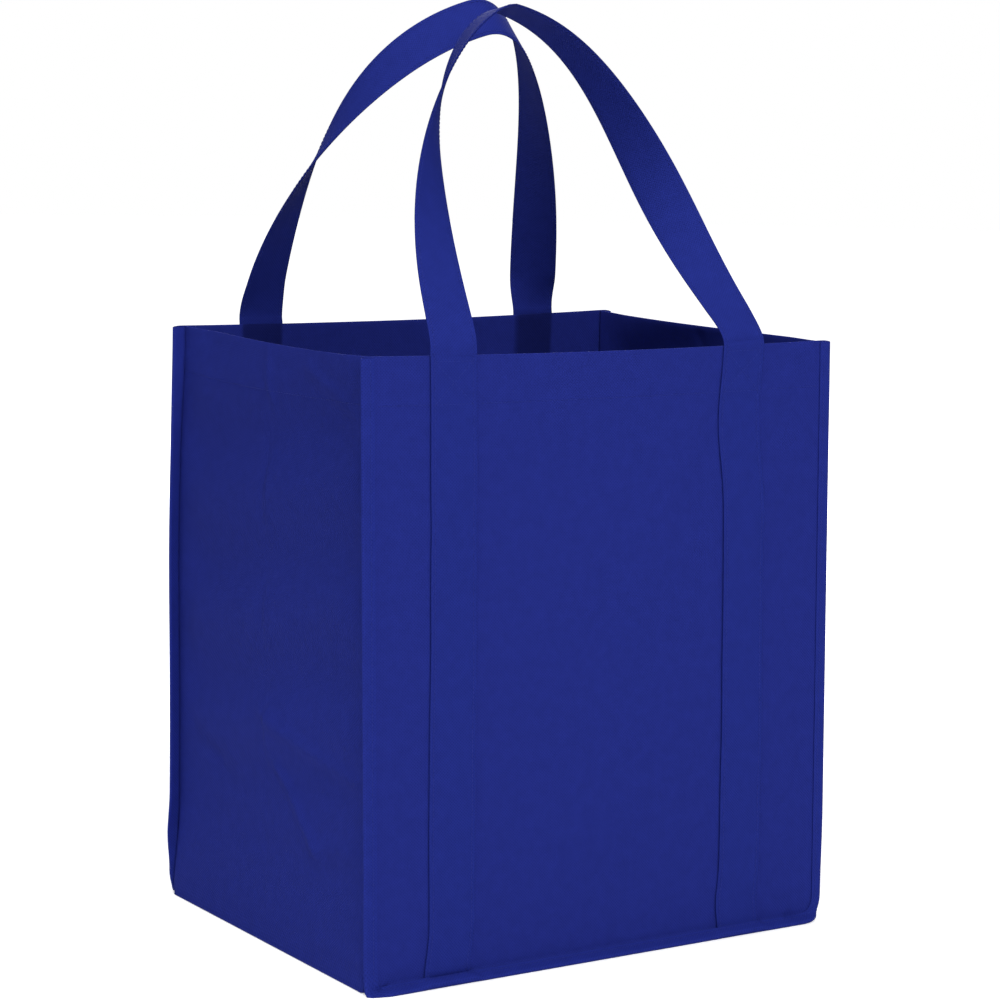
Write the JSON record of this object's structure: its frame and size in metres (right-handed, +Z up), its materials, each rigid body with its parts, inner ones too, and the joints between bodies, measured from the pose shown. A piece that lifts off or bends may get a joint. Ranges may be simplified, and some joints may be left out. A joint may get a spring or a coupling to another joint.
{
  "type": "non-woven tote bag",
  "caption": "Upright box-shaped tote of thin non-woven cloth with bound outward seams, a hemmed open top, a flat base with a board, and long looped strap handles.",
  "frame": {"origin": "on the floor, under the middle of the bag's bounding box", "axes": "+Z up from the base to the handles, -Y towards the front panel, +X to the right seen from the front"},
  "size_m": [0.3448, 0.2772, 0.5931],
  "materials": {
    "body_cloth": "royal blue spun-bonded polypropylene, matt, with a fine embossed dot pattern",
    "binding_cloth": "the same cloth, folded as a tape and stitched",
    "strap_cloth": "the same cloth, folded in layers and stitched",
    "board": "plain dark polypropylene sheet"
  },
  "bodies": {
    "root": {"front_panel": "body_cloth", "back_panel": "body_cloth", "gusset_strip": "body_cloth", "front_binding": "binding_cloth", "back_binding": "binding_cloth", "front_handle": "strap_cloth", "back_handle": "strap_cloth", "base_board": "board"}
  },
  "joints": []
}
